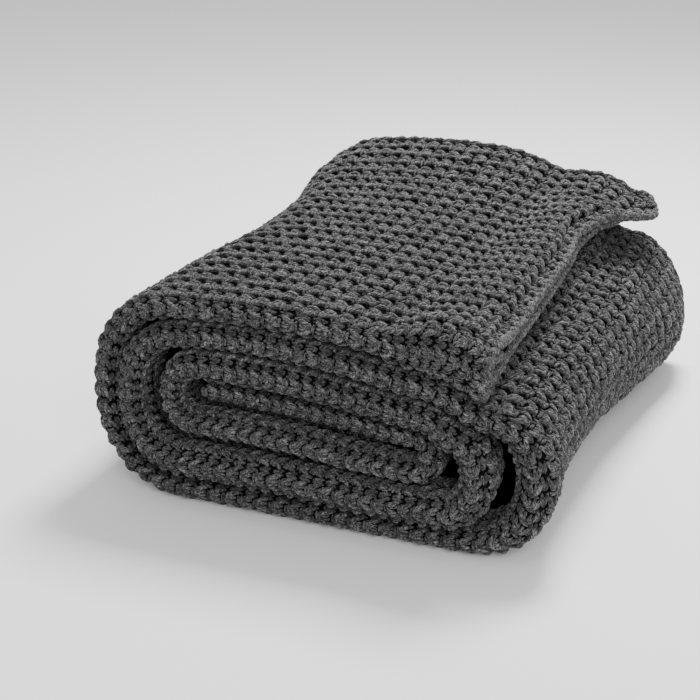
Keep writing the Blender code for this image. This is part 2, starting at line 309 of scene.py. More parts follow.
@dataclass
class Spiral:
    """The middle line of the wound pack, seen from the coiled end, from the core outwards."""

    step: float = 1 * MM
    push_past: float = 1.8 * PACK_THICK  # nearer along the path than this, turns don't push each other
    look_past: float = 1.9 * PACK_THICK  # and nearer than this, they aren't each other's next turn
    beam: float = 3 * MM  # how far to the side a next turn still counts
    table: np.ndarray = field(init=False)  # x, z, forward, puff, tangent x, tangent z
    arc: np.ndarray = field(init=False)

    def __post_init__(self) -> None:
        """Winds the path up."""
        rows = self.settled(self.evened(self.joined()))
        self.arc = np.append(0, np.cumsum(steps(rows[:, :2])))
        tangent = np.gradient(rows[:, :2], axis=0)
        tangent /= np.linalg.norm(tangent, axis=1)[:, None]
        self.table = np.concatenate([rows, tangent], 1)

    @property
    def length(self) -> float:
        """How long the wound cloth is."""
        return float(self.arc[-1])

    @staticmethod
    def run_height(run: Run, x: np.ndarray) -> np.ndarray:
        """Finds the height of a run's middle.

        Args:
            run: the run.
            x: places across the roll.

        Returns:
            The parabola through the run's three marks.
        """
        bend = ((run.left + run.right) / 2 - run.middle) / (MARK / MM) ** 2
        tilt = (run.right - run.left) / (2 * MARK / MM)
        return (run.middle + tilt * (x / MM) + bend * (x / MM) ** 2) * MM

    @staticmethod
    def side(turn: Turn) -> float:
        """1 for a turn on the right and -1 for one on the left."""
        return 1.0 if turn.reach > 0 else -1.0

    def turn_middle(self, turn: Turn) -> float:
        """The place across the roll at which a turn starts and ends."""
        return (turn.reach - self.side(turn) * turn.half_width) * MM

    def quarter(self, turn: Turn, run: Run, outwards: bool) -> np.ndarray:
        """Rounds one half of a turn.

        Args:
            turn: the turn.
            run: the run that this half joins.
            outwards: whether the path goes from the run to the turn's outermost point.

        Returns:
            Rows of x, z, forward and puff along a quarter oval.
        """
        angles = np.linspace(0, np.pi / 2, 25)
        if not outwards:
            angles = angles[::-1]
        power = 2 / turn.fullness
        wide = self.side(turn) * turn.half_width * MM
        x = self.turn_middle(turn) + wide * np.sin(angles) ** power
        start = self.run_height(run, self.turn_middle(turn))
        z = turn.height * MM + (start - turn.height * MM) * np.cos(angles) ** power
        share = smooth(angles / (np.pi / 2))
        forward = (run.forward + (turn.forward - run.forward) * share) * MM
        puff = (run.puff + (turn.puff - run.puff) * share) * MM
        return np.stack([x, z, forward, puff], 1)

    def joined(self) -> np.ndarray:
        """Joins the runs and turns in order, as close rows of x, z, forward and puff."""
        pieces = []
        x = CORE_START
        for i, run in enumerate(RUNS):
            end = self.turn_middle(TURNS[i]) if i < len(TURNS) else FLAP_END
            xs = np.linspace(x, end, max(3, int(abs(end - x) / (2 * MM))))
            free = ramp(xs, 30, 55) * (run is RUNS[-1])
            forward = run.forward * MM + FLAP_FORWARD * free
            puff = run.puff * MM + FLAP_PUFF * free
            pieces.append(np.stack([xs, self.run_height(run, xs), forward, puff], 1))
            if i < len(TURNS):
                pieces.append(self.quarter(TURNS[i], run, True)[1:])
                pieces.append(self.quarter(TURNS[i], RUNS[i + 1], False)[1:])
                x = self.turn_middle(TURNS[i])
        rows = np.concatenate(pieces)
        return rows[np.append(True, steps(rows[:, :2]) > 1e-7)]

    def evened(self, rows: np.ndarray, rounds: int = 10) -> np.ndarray:
        """Evens a path's steps and rounds off the small corners where runs meet turns.

        Args:
            rows: the path.
            rounds: how often its corners are eased.

        Returns:
            The path in even steps.
        """
        length = np.append(0, np.cumsum(steps(rows[:, :2])))
        even = np.linspace(0, length[-1], int(length[-1] / self.step) + 1)
        rows = np.stack([np.interp(even, length, rows[:, k]) for k in range(rows.shape[1])], 1)
        for _ in range(rounds):
            rows[1:-1] = eased(rows)
        return rows

    def settled(self, rows: np.ndarray, rounds: int = 60) -> np.ndarray:
        """Presses the turns apart wherever the pack's thickness would make them meet.

        Args:
            rows: the path in even steps.
            rounds: how often the turns push on each other.

        Returns:
            The path with room for every turn.
        """
        place, puff = rows[::2, :2].copy(), rows[::2, 3]
        length = np.append(0, np.cumsum(steps(place)))
        need = PACK_THICK + CLEARANCE + puff[:, None] + puff[None, :]
        own = np.abs(length[:, None] - length[None, :]) < self.push_past
        me = np.arange(len(place))
        for _ in range(rounds):
            apart = place[:, None] - place[None, :]
            far = np.linalg.norm(apart, axis=2)
            short = np.where(own, 0, need - far)
            other = short.argmax(1)
            push = np.maximum(short[me, other], 0) / np.maximum(far[me, other], MM) * 0.5
            move = apart[me, other] * push[:, None]
            for _ in range(3):
                move[1:-1] = eased(move)
            place += move
            place[:, 1] = np.maximum(place[:, 1], PACK_THICK / 2 + puff)
        full = np.linspace(0, 1, len(rows))
        rows = rows.copy()
        for k in range(2):
            rows[:, k] += np.interp(full, full[::2], place[:, k] - rows[::2, k])
        return self.evened(rows, rounds=3)

    def at(self, s: np.ndarray) -> PathPoint:
        """Reads the path.

        Args:
            s: lengths along it; beyond its ends it goes straight on.

        Returns:
            The path there, with arrays of the same shape as s.
        """
        s = np.asarray(s, float)
        x, z, forward, puff, tx, tz = (np.interp(s, self.arc, column) for column in self.table.T)
        over = s - np.clip(s, 0, self.length)
        tangent = np.stack([tx, tz], -1)
        tangent /= np.linalg.norm(tangent, axis=-1)[..., None]
        normal = np.stack([-tangent[..., 1], tangent[..., 0]], -1)
        place = np.stack([x, z], -1) + over[..., None] * tangent
        return PathPoint(place, tangent, normal, forward, puff)

    def room(self, outwards: bool) -> np.ndarray:
        """Measures the gap to the next turn.

        Args:
            outwards: whether to look away from the core or towards it.

        Returns:
            The gap between faces at each row of the path, which is large where no turn follows.
        """
        place, tangent = self.table[:, :2], self.table[:, 4:6]
        sign = 1.0 if outwards else -1.0
        normal = np.stack([-tangent[:, 1], tangent[:, 0]], 1) * sign
        apart = place[None, :] - place[:, None]
        ahead = (apart * normal[:, None]).sum(2)
        beside = np.abs((apart * tangent[:, None]).sum(2))
        own = np.abs(self.arc[:, None] - self.arc[None, :]) < self.look_past
        ahead = np.where(own | (beside > self.beam) | (ahead < 0), 1.0, ahead)
        return ahead.min(1) - PACK_THICK


@dataclass
class RollForm:
    """The roll's whole form: places the wound, folded pack in the frame."""

    spiral: Spiral
    shift: np.ndarray = field(default_factory=lambda: np.zeros(3))
    half_width: float = 0.334  # of the cloth across the front fold, for measuring the form's own box

    def point(self, s: np.ndarray, depth: np.ndarray, offset: np.ndarray) -> np.ndarray:
        """Places points of the pack.

        Args:
            s: lengths along the spiral.
            depth: how far back from the front.
            offset: how far out from the middle of the pack.

        Returns:
            The points, with one more axis for x, y and z.
        """
        path = self.spiral.at(s)
        near_end = smooth(1 - (self.spiral.length - s) / FLAP_EASE)
        inside = np.clip(depth, 0, ROLL_DEPTH)
        lower_leaf = smooth(0.5 - offset / (2 * LEAF_MIDDLE))
        reach, under, droop = (along(FLAP_ENDS, column, inside) for column in ("reach", "under", "droop"))
        reach = (reach + under * lower_leaf) * MM * near_end
        droop = droop * MM * near_end**2
        place = path.place + offset[..., None] * path.normal + reach[..., None] * path.tangent
        points = self.warped(np.stack([place[..., 0], depth, place[..., 1] - droop], -1)) + self.shift
        points[..., 2] = np.maximum(points[..., 2], 0.0)
        return points

    @staticmethod
    def warped(points: np.ndarray) -> np.ndarray:
        """Changes the section along the depth.

        It drifts sideways, has a waist on the left and a hump at the back, and the foot of its right side
        goes in and out.

        Args:
            points: x, depth and z on their last axis.

        Returns:
            The moved points.
        """
        x, y, z = points[..., 0], points[..., 1], points[..., 2]
        depth = np.clip(y, 0, ROLL_DEPTH)
        left, right, flap_side, high = ramp(-x, 5, 110), ramp(x, 20, 95), ramp(x, 10, 60), ramp(z, 22, 60)
        shift, pinch, lift, foot, brow = (along(STATIONS, column, depth) for column in Station._fields[2:])
        moved = x + shift * MM + pinch * MM * left
        moved += (foot * (1 - high) + brow * high) * MM * right
        taken = 1 - LIFT_KEPT_OFF_FLAP * flap_side - LIFT_KEPT_OFF_LEFT * left
        return np.stack([moved, y, z * (1 + lift * taken)], -1)

    def sit_in(self, low: np.ndarray, high: np.ndarray) -> None:
        """Moves the form so that its own box stands in the middle of another and on its base.

        Args:
            low: the other box's lowest corner.
            high: its highest corner.
        """
        face = WrapFace(self)
        widths = np.linspace(-self.half_width, self.half_width, 80)
        s, v = np.meshgrid(np.linspace(0, self.spiral.length, 500), widths)
        points = face.point(s, v, np.zeros_like(s))
        middle = (points.min((0, 1)) + points.max((0, 1))) / 2
        self.shift = np.array([(low[0] + high[0]) / 2 - middle[0], (low[1] + high[1]) / 2 - middle[1], 0.0])


# ---- the faces that stitches lie on ---------------------------------------------------------------------
class Face(Protocol):
    """A surface of the cloth with two directions of its own and a height over it."""

    def point(self, a: np.ndarray, b: np.ndarray, h: np.ndarray) -> np.ndarray:
        """Places points that lie a along the face, b across it and h over it."""


@dataclass
class WrapFace:
    """The outside of the folded pack, across it from one back edge round the front fold to the other.

    a runs along the spiral and b across the cloth from the front fold's crest: positive on the leaf that
    faces out of the roll. Beyond the back edge, the outer cloth's hem and the inner leaf's fold go on.
    """

    form: RollForm
    flat_front: float = PACK_THICK / 2
    settle: float = 60 * MM
    hem_radius: float = LEAF_THICK / 4
    back_fold_depth: float = 2.6 * MM

    @property
    def half_breadth(self) -> float:
        """From the front fold's crest to where the back edges start to round."""
        return BACK_START - self.flat_front + self.flat_front * np.pi / 2

    def point(self, a: np.ndarray, b: np.ndarray, h: np.ndarray) -> np.ndarray:
        """Places points over the pack's outside.

        Args:
            a: lengths along the spiral.
            b: widths across the cloth.
            h: heights over the cloth's face.

        Returns:
            The points in the frame.
        """
        path = self.form.spiral.at(a)
        fold = LEAF_MIDDLE + path.puff
        radius = fold + LEAF_THICK / 2
        quarter = radius * np.pi / 2
        front = -path.forward + radius
        drift = (self.flat_front - front) + (quarter - self.flat_front * np.pi / 2)
        side = np.where(b < 0, -1.0, 1.0)
        far = np.abs(b)
        angle = np.clip(far / quarter, 0, 1) * np.pi / 2
        t = np.maximum(far - quarter, 0)
        flat_depth = front + t + drift * (1 - np.exp(-t / self.settle))
        opening = LEAF_MIDDLE + path.puff * np.exp(-(((flat_depth - front) / PUFF_DEEP) ** 2))
        bent = far < quarter
        depth = np.where(bent, front - (radius + h) * np.cos(angle), flat_depth)
        offset = np.where(bent, (radius + h) * np.sin(angle), opening + LEAF_THICK / 2 + h)
        over = np.maximum(far - self.half_breadth, 0)
        depth, offset = self.rounded(depth, offset, over, side, h)
        return self.form.point(a, depth, side * offset)

    def rounded(
        self, depth: np.ndarray, offset: np.ndarray, over: np.ndarray, side: np.ndarray, h: np.ndarray
    ) -> tuple[np.ndarray, np.ndarray]:
        """Rounds the back edges.

        Args:
            depth: depths so far.
            offset: distances from the pack's middle so far.
            over: widths beyond the back edge.
            side: 1 on the outer leaf and -1 on the inner one.
            h: heights over the cloth's face.

        Returns:
            Depths and distances with the hem and the back fold rounded.
        """
        hem_angle = over / self.hem_radius
        fold_angle = over / (LEAF_THICK / 2)
        hem_depth = BACK_START + (self.hem_radius + h) * np.sin(hem_angle)
        hem_offset = LEAF_MIDDLE + self.hem_radius + (self.hem_radius + h) * np.cos(hem_angle)
        fold_depth = BACK_START + (self.back_fold_depth + h) * np.sin(fold_angle)
        fold_offset = LEAF_MIDDLE + (LEAF_THICK / 2 + h) * np.cos(fold_angle)
        beyond = over > 0
        depth = np.where(beyond & (side > 0), hem_depth, np.where(beyond, fold_depth, depth))
        offset = np.where(beyond & (side > 0), hem_offset, np.where(beyond, fold_offset, offset))
        return depth, offset


@dataclass
class InnerHemFace:
    """The back hem inside the outer leaf: a runs along the spiral and b round the hem."""

    form: RollForm
    hem_radius: float = LEAF_THICK / 4

    def point(self, a: np.ndarray, b: np.ndarray, h: np.ndarray) -> np.ndarray:
        """Places points over the hem.

        Args:
            a: lengths along the spiral.
            b: widths round the hem from its outer side.
            h: heights over it.

        Returns:
            The points in the frame.
        """
        angle = b / self.hem_radius
        depth = BACK_START + (self.hem_radius + h) * np.sin(angle)
        offset = LEAF_MIDDLE - self.hem_radius + (self.hem_radius + h) * np.cos(angle)
        return self.form.point(a, depth, offset)


@dataclass
class EndFace:
    """The rounded end of the cloth on top of the roll: a runs across the cloth and b round its edge."""

    wrap: WrapFace
    stand_out: float = 3 * MM
    depth: float = LEAF_THICK / 2  # of the hem's middle beneath the pack's face
    hem_radius: float = LEAF_THICK / 2

    def point(self, a: np.ndarray, b: np.ndarray, h: np.ndarray) -> np.ndarray:
        """Places points over the end.

        Args:
            a: widths across the cloth, from the front fold's crest.
            b: widths round the edge from its outer side.
            h: heights over it.

        Returns:
            The points in the frame.
        """
        angle = b / self.hem_radius
        s = self.wrap.form.spiral.length + (self.stand_out + h) * np.sin(angle)
        height = (self.hem_radius + h) * np.cos(angle) - self.depth
        return self.wrap.point(s, a, height)


# ---- finishes -------------------------------------------------------------------------------------------
PLY_RELIEF = 0.9  # of the twisted plies, to the fibres' 1


class Slot(Enum):
    """The material slots of the part."""

    COTTON = "cotton_knit"


@dataclass(frozen=True)
class HeatherGroup:
    """The shared effect of mixed dark and light cotton fibres, scaled by a tone that carries painted shade,
    as a shader node group.
    """

    name: str = "heathered_cotton"

    def build(self) -> bpy.types.NodeTree:
        """Builds the group, or returns it if it is there already."""
        if self.name in bpy.data.node_groups:
            return bpy.data.node_groups[self.name]
        tree = bpy.data.node_groups.new(self.name, "ShaderNodeTree")
        for title, kind, default in (
            ("Dark", "NodeSocketColor", (0.03, 0.03, 0.03, 1)),
            ("Light", "NodeSocketColor", (0.2, 0.2, 0.2, 1)),
            ("Fibre Place", "NodeSocketVector", (0, 0, 0)),
            ("Cloth Place", "NodeSocketVector", (0, 0, 0)),
            ("Tone And Shade", "NodeSocketFloat", 1.0),
            ("Fibre Scale", "NodeSocketFloat", 1.0),
            ("Plies", "NodeSocketFloat", 0.0),
        ):
            socket = tree.interface.new_socket(title, in_out="INPUT", socket_type=kind)
            socket.default_value = default
        for title, kind in (("Color", "NodeSocketColor"), ("Height", "NodeSocketFloat")):
            tree.interface.new_socket(title, in_out="OUTPUT", socket_type=kind)
        nodes, links = tree.nodes, tree.links
        given, out = nodes.new("NodeGroupInput"), nodes.new("NodeGroupOutput")
        fibre, patch = nodes.new("ShaderNodeTexNoise"), nodes.new("ShaderNodeTexNoise")
        fibre.inputs["Detail"].default_value = 3.0
        fibre.inputs["Roughness"].default_value = 0.65
        patch.inputs["Scale"].default_value = 160.0
        patch.inputs["Detail"].default_value = 2.0
        spread, mottle = nodes.new("ShaderNodeMapRange"), nodes.new("ShaderNodeMapRange")
        for node, values in ((spread, (0.42, 0.74, 0.0, 1.0)), (mottle, (0.3, 0.7, 0.82, 1.18))):
            for title, value in zip(("From Min", "From Max", "To Min", "To Max"), values):
                node.inputs[title].default_value = value
        mix, shade = nodes.new("ShaderNodeMix"), nodes.new("ShaderNodeVectorMath")
        mix.data_type = "RGBA"
        shade.operation = "SCALE"
        both = nodes.new("ShaderNodeMath")
        both.operation = "MULTIPLY"
        for source, output, target, entry in (
            (given, "Fibre Place", fibre, "Vector"),
            (given, "Fibre Scale", fibre, "Scale"),
            (given, "Cloth Place", patch, "Vector"),
            (fibre, "Fac", spread, "Value"),
            (patch, "Fac", mottle, "Value"),
            (spread, "Result", mix, "Factor"),
            (given, "Dark", mix, "A"),
            (given, "Light", mix, "B"),
            (mottle, "Result", both, 0),
            (given, "Tone And Shade", both, 1),
            (mix, "Result", shade, 0),
            (both, "Value", shade, "Scale"),
            (shade, "Vector", out, "Color"),
        ):
            links.new(source.outputs[output], target.inputs[entry])
        self.add_plies(tree, given, fibre, out)
        return tree

    @staticmethod
    def add_plies(
        tree: bpy.types.NodeTree, given: bpy.types.Node, fibre: bpy.types.Node, out: bpy.types.Node
    ) -> None:
        """Adds the relief of the twisted plies and of the fibres.

        Args:
            tree: the group's nodes.
            given: its input node.
            fibre: its fibre noise.
            out: its output node.
        """
        nodes, links = tree.nodes, tree.links
        split = nodes.new("ShaderNodeSeparateXYZ")
        links.new(given.outputs["Fibre Place"], split.inputs["Vector"])
        sums = []
        for kind in ("ARCTAN2", "MULTIPLY", "COSINE", "ABSOLUTE", "MULTIPLY", "ADD"):
            step = nodes.new("ShaderNodeMath")
            step.operation = kind
            if sums:
                links.new(sums[-1].outputs["Value"], step.inputs[0])
            sums.append(step)
        angle, plies, _, _, relief, total = sums
        relief.inputs[1].default_value = PLY_RELIEF
        links.new(split.outputs["Z"], angle.inputs[0])
        links.new(split.outputs["Y"], angle.inputs[1])
        links.new(given.outputs["Plies"], plies.inputs[1])
        links.new(fibre.outputs["Fac"], total.inputs[1])
        links.new(total.outputs["Value"], out.inputs["Height"])


@dataclass(frozen=True)
class CottonFinish:
    """Matt cotton, as yarn or as the ground beneath it, whose near-black colour is painted shade."""

    name: str
    dark: tuple[float, float, float]
    light: tuple[float, float, float]
    fibre_scale: float
    bump: float
    fuzz: float
    half_plies: float
    gloss: float
    per_strand: bool

    def build(self) -> bpy.types.Material:
        """Builds the material."""
        material = bpy.data.materials.new(self.name)
        material.use_nodes = True
        nodes, links = material.node_tree.nodes, material.node_tree.links
        shader = nodes["Principled BSDF"]
        shader.inputs["Roughness"].default_value = 0.92
        shader.inputs["Specular IOR Level"].default_value = self.gloss
        shader.inputs["Sheen Weight"].default_value = self.fuzz
        shader.inputs["Sheen Roughness"].default_value = 0.6
        heather = nodes.new("ShaderNodeGroup")
        heather.node_tree = HeatherGroup().build()
        heather.inputs["Dark"].default_value = (*self.dark, 1)
        heather.inputs["Light"].default_value = (*self.light, 1)
        heather.inputs["Fibre Scale"].default_value = self.fibre_scale
        heather.inputs["Plies"].default_value = self.half_plies
        place = nodes.new("ShaderNodeTexCoord")
        links.new(place.outputs["Object"], heather.inputs["Cloth Place"])
        if self.per_strand:
            # the tone attribute brings each strand's random tone with its painted shade
            tone, fibre = nodes.new("ShaderNodeAttribute"), nodes.new("ShaderNodeAttribute")
            tone.attribute_name, fibre.attribute_name = "tone", "fibre"
            links.new(tone.outputs["Fac"], heather.inputs["Tone And Shade"])
            links.new(fibre.outputs["Vector"], heather.inputs["Fibre Place"])
        else:
            links.new(place.outputs["Object"], heather.inputs["Fibre Place"])
        bump = nodes.new("ShaderNodeBump")
        bump.inputs["Strength"].default_value = self.bump
        bump.inputs["Distance"].default_value = 0.4 * MM
        links.new(heather.outputs["Height"], bump.inputs["Height"])
        links.new(heather.outputs["Color"], shader.inputs["Base Color"])
        links.new(bump.outputs["Normal"], shader.inputs["Normal"])
        return material


YARN = CottonFinish(
    name="charcoal_cotton_yarn",
    dark=(0.008, 0.008, 0.008),
    light=(0.25, 0.25, 0.25),
    fibre_scale=1.0,
    bump=0.9,
    fuzz=0.08,
    half_plies=2.5,
    gloss=0.12,
    per_strand=True,
)
# The ground's near-black, darker than any yarn, is painted shade for the hollows between the stitches,
# where alone it shows.
GROUND = CottonFinish(
    name="shaded_cotton_ground",
    dark=(0.003, 0.003, 0.003),
    light=(0.008, 0.008, 0.008),
    fibre_scale=900.0,
    bump=0.5,
    fuzz=0.0,
    half_plies=0.0,
    gloss=0.0,
    per_strand=False,
)


# ---- meshes ---------------------------------------------------------------------------------------------
NO_TIPS = np.zeros((0, 3), int)


def make_piece(
    name: str, points: np.ndarray, quads: np.ndarray, tips: np.ndarray = NO_TIPS
) -> bpy.types.Object:
    """Makes a smooth mesh object.

    Args:
        name: the piece's name.
        points: the vertices.
        quads: rows of four vertex numbers.
        tips: rows of three vertex numbers, if the mesh has triangles too.

    Returns:
        The object, linked into the scene.
    """
    mesh = bpy.data.meshes.new(name)
    mesh.vertices.add(len(points))
    mesh.vertices.foreach_set("co", points.astype(np.float32).ravel())
    corners = np.concatenate([quads.ravel(), tips.ravel()])
    sizes = np.concatenate([np.full(len(quads), 4), np.full(len(tips), 3)])
    mesh.loops.add(len(corners))
    mesh.loops.foreach_set("vertex_index", corners.astype(np.int32))
    mesh.polygons.add(len(sizes))
    starts = np.append(0, np.cumsum(sizes)[:-1])
    mesh.polygons.foreach_set("loop_start", starts.astype(np.int32))
    mesh.update(calc_edges=True)
    mesh.validate()
    mesh.shade_smooth()
    piece = bpy.data.objects.new(name, mesh)
    bpy.context.scene.collection.objects.link(piece)
    return piece


@dataclass
class StrandBatch:
    """Gathers strands of yarn and makes one mesh of them: each is a plump, closed, five-sided sausage."""

    name: str
    sides: int = 5
    stops: tuple[float, ...] = (0.0, 0.08, 0.36, 0.64, 0.92, 1.0)
    girths: tuple[float, ...] = (0.72, 1.0, 1.0, 0.72)
    centres: list[np.ndarray] = field(default_factory=list)
    normals: list[np.ndarray] = field(default_factory=list)
    radii: list[np.ndarray] = field(default_factory=list)
    sink_shades: list[np.ndarray] = field(default_factory=list)
    underside_shade: float = 0.3  # painted shade: the tone of a strand's underside, to its crest's 1
    flank_power: float = 0.8  # how soon the painted shade deepens towards it
    # painted shade at a strand's two ends, where it goes down into the cloth
    tip_shade: float = 0.5
    sink_shade: float = 0.4  # painted shade: how much darker a strand is for each millimetre that it lies deeper
    uneven: float = 0.28  # spread of the places of strands, in millimetres
    most_uneven: float = 0.4
    girth_spread: float = 0.06
    tone_spread: float = 0.18
    fibre_stretch: float = 0.6  # of the fibres along a strand
    ply_twist: float = 0.5  # in radians for each millimetre
    ply_width: float = 1.3

    def lay(
        self,
        face: Face,
        strand: Strand,
        a: np.ndarray,
        b: np.ndarray,
        pitch: np.ndarray,
        chance: np.random.Generator,
    ) -> None:
        """Lays one strand of a stitch in many places.

        Args:
            face: what it lies on.
            strand: the strand.
            a: the stitches' middles along the face.
            b: the stitches' middles across the face.
            pitch: the stitches' lengths.
            chance: where the small unevenness of hand-made stitches comes from.
        """
        count = len(a)
        t = np.array(self.stops)[None, :]
        uneven = chance.normal(0, self.uneven, (6, count, 1))
        uneven = np.clip(uneven, -self.most_uneven, self.most_uneven) * MM
        start_a = a[:, None] + strand.along_start * pitch[:, None] + uneven[0]
        end_a = a[:, None] + strand.along_end * pitch[:, None] + uneven[1]
        start_b = b[:, None] + strand.across_start * MM + uneven[2]
        end_b = b[:, None] + strand.across_end * MM + uneven[3]
        arch = 4 * t * (1 - t)
        run_a = start_a + (end_a - start_a) * t - strand.bulge * pitch[:, None] * arch
        run_b = start_b + (end_b - start_b) * t
        radius = strand.radius * MM * (1 + chance.normal(0, self.girth_spread, (count, 1)))
        crest = -strand.sink * MM - radius + uneven[4]
        height = crest - strand.dip * MM * (2 * t - 1) ** 2
        centre = face.point(run_a, run_b, height)
        above = face.point(run_a, run_b, height + 0.5 * MM)
        self.centres.append(centre)
        self.normals.append(above - centre)
        self.radii.append(radius[:, 0])
        # painted shade: the deeper a strand lies beneath the cloth's face, the darker it is
        self.sink_shades.append(np.full(count, 1 / (1 + self.sink_shade * max(strand.sink, 0))))

    @property
    def triangles(self) -> int:
        """How many triangles the batch makes."""
        return sum(map(len, self.radii)) * self.sides * (2 * len(self.girths))

    def build(self, chance: np.random.Generator) -> bpy.types.Object:
        """Makes the mesh, with the tone, which carries painted shade, and the fibre's run as attributes.

        Args:
            chance: where each strand's tone comes from.

        Returns:
            The piece.
        """
        centre, normal = np.concatenate(self.centres), np.concatenate(self.normals)
        radius = np.concatenate(self.radii)
        count, rings = len(centre), len(self.girths)
        run = centre[:, 2:] - centre[:, :-2]
        run /= np.maximum(np.linalg.norm(run, axis=2), 1e-9)[..., None]
        beside = np.cross(run, normal[:, 1:-1])
        beside /= np.maximum(np.linalg.norm(beside, axis=2), 1e-9)[..., None]
        over = np.cross(beside, run)
        turn = np.arange(self.sides) / self.sides * 2 * np.pi
        girth = radius[:, None] * np.array(self.girths)[None, :]
        across, aside = np.cos(turn)[None, None, :, None], np.sin(turn)[None, None, :, None]
        ring = across * over[:, :, None] + aside * beside[:, :, None]
        ring = centre[:, 1:-1, None] + girth[..., None, None] * ring
        each = rings * self.sides + 2
        points = np.concatenate([centre[:, :1], ring.reshape(count, -1, 3), centre[:, -1:]], 1)
        points[..., 2] = np.maximum(points[..., 2], 0)
        i, j = np.meshgrid(np.arange(rings - 1), np.arange(self.sides), indexing="ij")
        low, high = 1 + i * self.sides, 1 + (i + 1) * self.sides
        after = (j + 1) % self.sides
        quads = np.stack([low + j, high + j, high + after, low + after], -1).reshape(-1, 4)
        j = np.arange(self.sides)
        after = (j + 1) % self.sides
        first = np.stack([np.zeros_like(j), 1 + j, 1 + after], -1)
        last = 1 + (rings - 1) * self.sides
        final = np.stack([np.full_like(j, each - 1), last + after, last + j], -1)
        start = (np.arange(count) * each)[:, None, None]
        piece = make_piece(
            self.name,
            points.reshape(-1, 3),
            (quads[None] + start).reshape(-1, 4),
            (np.concatenate([first, final])[None] + start).reshape(-1, 3),
        )
        # each strand's random tone, times the painted shade of the deeper strands
        tone_and_sink_shade = np.clip(chance.normal(1.0, self.tone_spread, count), 0.6, 1.5) * np.concatenate(self.sink_shades)
        # painted shade: darker towards each strand's underside, and at its two ends
        flank_shade = self.underside_shade + (1 - self.underside_shade) * (0.5 + 0.5 * np.cos(turn)) ** self.flank_power
        tip = np.full(1, self.tip_shade)
        tone = (tone_and_sink_shade[:, None] * np.concatenate([tip, np.tile(flank_shade, rings), tip])[None, :]).ravel()
        length = np.linalg.norm(np.diff(centre, axis=1), axis=2).cumsum(1)
        reach = np.concatenate([np.zeros((count, 1)), length], 1) / MM
        along_strand = np.concatenate(
            [reach[:, :1], np.repeat(reach[:, 1:-1], self.sides, axis=1), reach[:, -1:]], 1
        )
        around = np.concatenate([[0], np.tile(turn, rings), [0]])[None, :]
        seed = chance.uniform(0, 500, (count, 1))
        wide = radius[:, None] / MM * self.ply_width
        twist = around + along_strand * self.ply_twist
        fibre = np.stack(
            [along_strand * self.fibre_stretch + seed, np.cos(twist) * wide, np.sin(twist) * wide], -1
        )
        mesh = piece.data
        # the tone attribute holds each strand's random tone with its painted shade
        mesh.attributes.new("tone", "FLOAT", "POINT").data.foreach_set("value", tone.astype(np.float32))
        mesh.attributes.new("fibre", "FLOAT_VECTOR", "POINT").data.foreach_set(
            "vector", fibre.astype(np.float32).ravel()
        )
        return piece


# ---- the throw ------------------------------------------------------------------------------------------
INNER_SHARE = 0.7  # how much of the front fold's fullness the inside cloth takes


